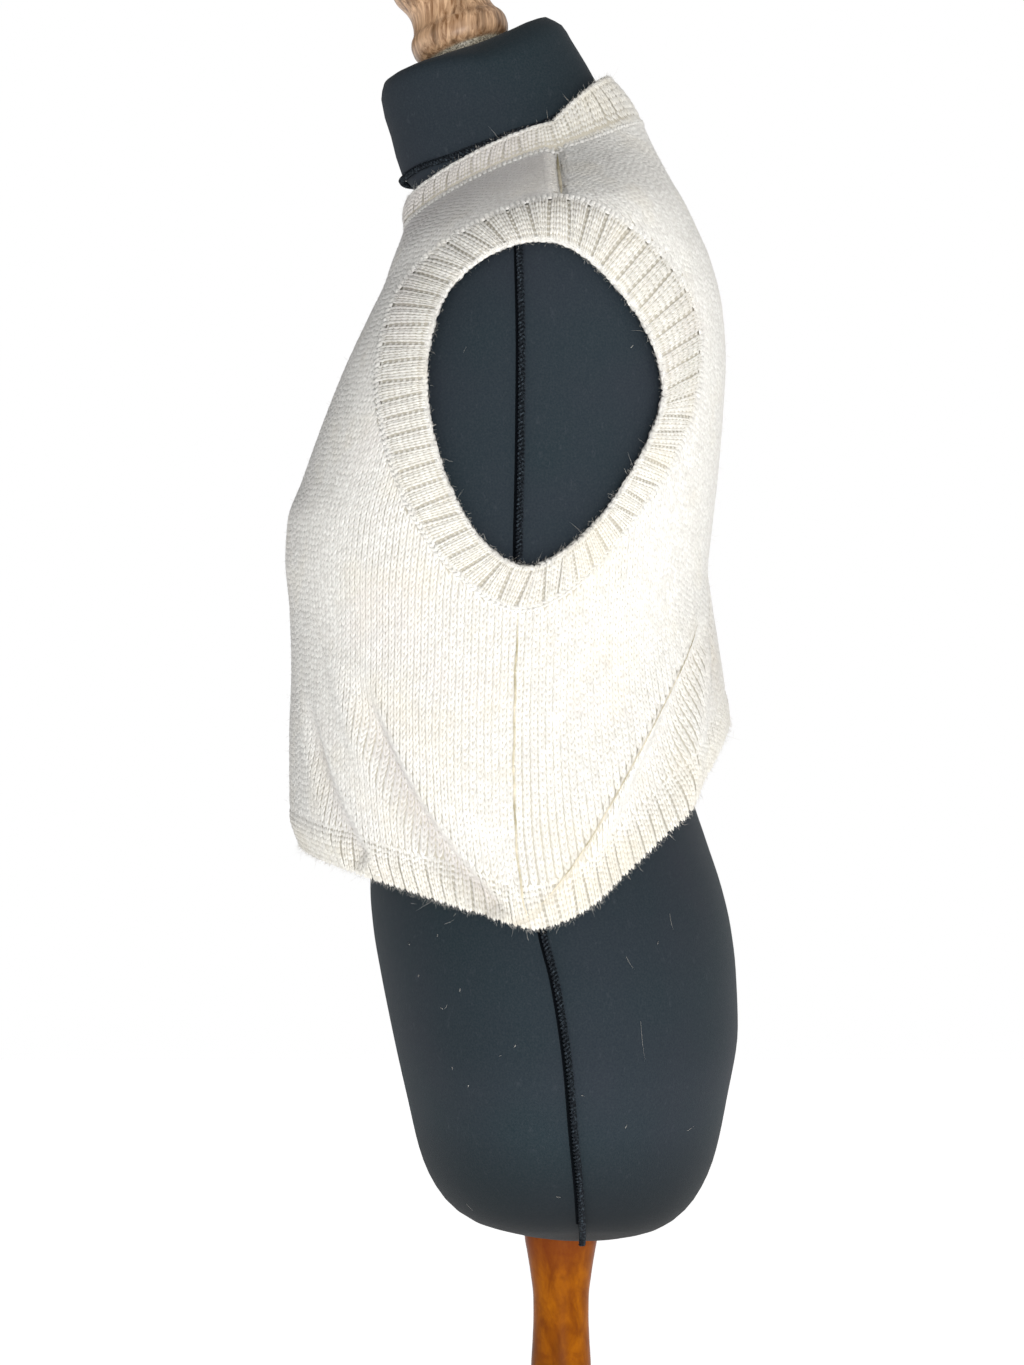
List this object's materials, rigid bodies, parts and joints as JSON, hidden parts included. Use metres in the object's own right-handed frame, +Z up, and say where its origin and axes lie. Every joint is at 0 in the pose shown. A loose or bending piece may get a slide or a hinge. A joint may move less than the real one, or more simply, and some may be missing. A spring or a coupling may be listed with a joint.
{
  "type": "cropped knit sweater vest worn on a limbless dress form with a stand",
  "caption": "Cropped sleeveless knit vest with ribbed hem, neckband and armhole bands, worn on a limbless dress form on a turned wooden post and round base.",
  "frame": {"origin": "centre of the base's underside, on the floor and on the axis of the post", "axes": "+Z up the post, -Y towards the vest's front, +X towards the wearer's left"},
  "size_m": [0.38, 0.38, 1.5185],
  "materials": {
    "cream_knit": "fuzzy heathered stocking stitch",
    "cream_rib": "fuzzy heathered rib",
    "dark_jersey": "matte fine jersey",
    "dark_piping": "twisted cord",
    "neck_cap_wood": "natural turned wood, satin",
    "stained_wood": "honey-brown stain under gloss lacquer"
  },
  "bodies": {
    "root": {"front": "cream_knit", "back": "cream_knit", "neckband": "cream_rib", "armhole_band_left": "cream_rib", "armhole_band_right": "cream_rib", "form_torso": "dark_jersey", "side_piping_left": "dark_piping", "side_piping_right": "dark_piping", "neck_piping": "dark_piping", "finial": "neck_cap_wood", "post": "stained_wood", "base": "stained_wood"}
  },
  "joints": []
}
